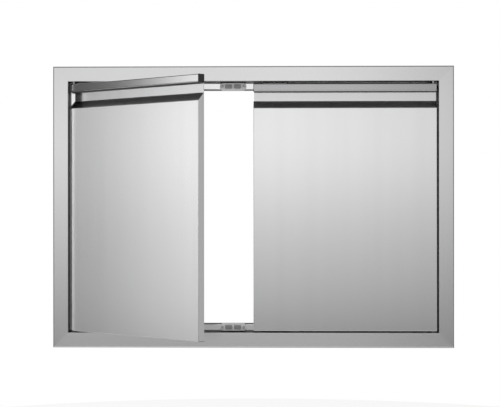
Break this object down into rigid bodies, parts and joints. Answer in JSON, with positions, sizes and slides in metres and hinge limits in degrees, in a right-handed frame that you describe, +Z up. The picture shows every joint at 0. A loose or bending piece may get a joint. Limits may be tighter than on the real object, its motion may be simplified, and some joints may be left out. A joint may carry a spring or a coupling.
{
  "type": "bbq island access door",
  "caption": "Flanged stainless door frame for a barbecue island, with hinged leaves, a finger recess along each top edge and magnetic catches.",
  "frame": {"origin": "middle of the flange's bottom edge, on the face of the wall", "axes": "+X to the viewer's right along the width, +Y into the wall, +Z up"},
  "size_m": [0.815, 0.3054, 0.5725],
  "materials": {
    "brushed_stainless": "brushed number 4",
    "liner_stainless": "brushed number 4",
    "screw_steel": "bright",
    "plated_steel": "zinc plated",
    "magnet": "nickel plated",
    "grey_plastic": "moulded",
    "black_plastic": "moulded",
    "bearing_plastic": "moulded",
    "block_plastic": "moulded"
  },
  "bodies": {
    "frame": {"frame_top_rail": "brushed_stainless", "frame_bottom_rail": "brushed_stainless", "frame_left_stile": "brushed_stainless", "frame_right_stile": "brushed_stainless", "top_stop_strip": "brushed_stainless", "bottom_stop_strip": "brushed_stainless", "left_stop_strip": "brushed_stainless", "right_stop_strip": "brushed_stainless", "left_upper_catch_housing": "grey_plastic", "left_upper_catch_magnets": "magnet", "left_upper_pivot_pin": "screw_steel", "left_lower_catch_housing": "grey_plastic", "left_lower_catch_magnets": "magnet", "left_lower_pivot_pin": "screw_steel", "left_thrust_washer": "bearing_plastic", "right_upper_catch_housing": "grey_plastic", "right_upper_catch_magnets": "magnet", "right_upper_pivot_pin": "screw_steel", "right_lower_catch_housing": "grey_plastic", "right_lower_catch_magnets": "magnet", "right_lower_pivot_pin": "screw_steel", "right_thrust_washer": "bearing_plastic", "catch_screws": "screw_steel"},
    "left_door": {"left_front_skin": "brushed_stainless", "left_liner": "liner_stainless", "left_grip_rail": "brushed_stainless", "left_hinge_end_cap": "black_plastic", "left_free_end_cap": "black_plastic", "left_upper_pivot_block": "block_plastic", "left_upper_strike_plate": "plated_steel", "left_lower_pivot_block": "block_plastic", "left_lower_strike_plate": "plated_steel"},
    "right_door": {"right_front_skin": "brushed_stainless", "right_liner": "liner_stainless", "right_grip_rail": "brushed_stainless", "right_hinge_end_cap": "black_plastic", "right_free_end_cap": "black_plastic", "right_upper_pivot_block": "block_plastic", "right_upper_strike_plate": "plated_steel", "right_lower_pivot_block": "block_plastic", "right_lower_strike_plate": "plated_steel"}
  },
  "joints": [
    {"name": "left_door_swing", "type": "hinge", "parent": "frame", "child": "left_door", "pos_m": [-0.366, 0.001, 0.28625], "axis": [0, 0, -1], "range_deg": [-41.5, 68.5]},
    {"name": "right_door_swing", "type": "hinge", "parent": "frame", "child": "right_door", "pos_m": [0.366, 0.001, 0.28625], "axis": [0, 0, 1], "range_deg": [0, 110]}
  ]
}
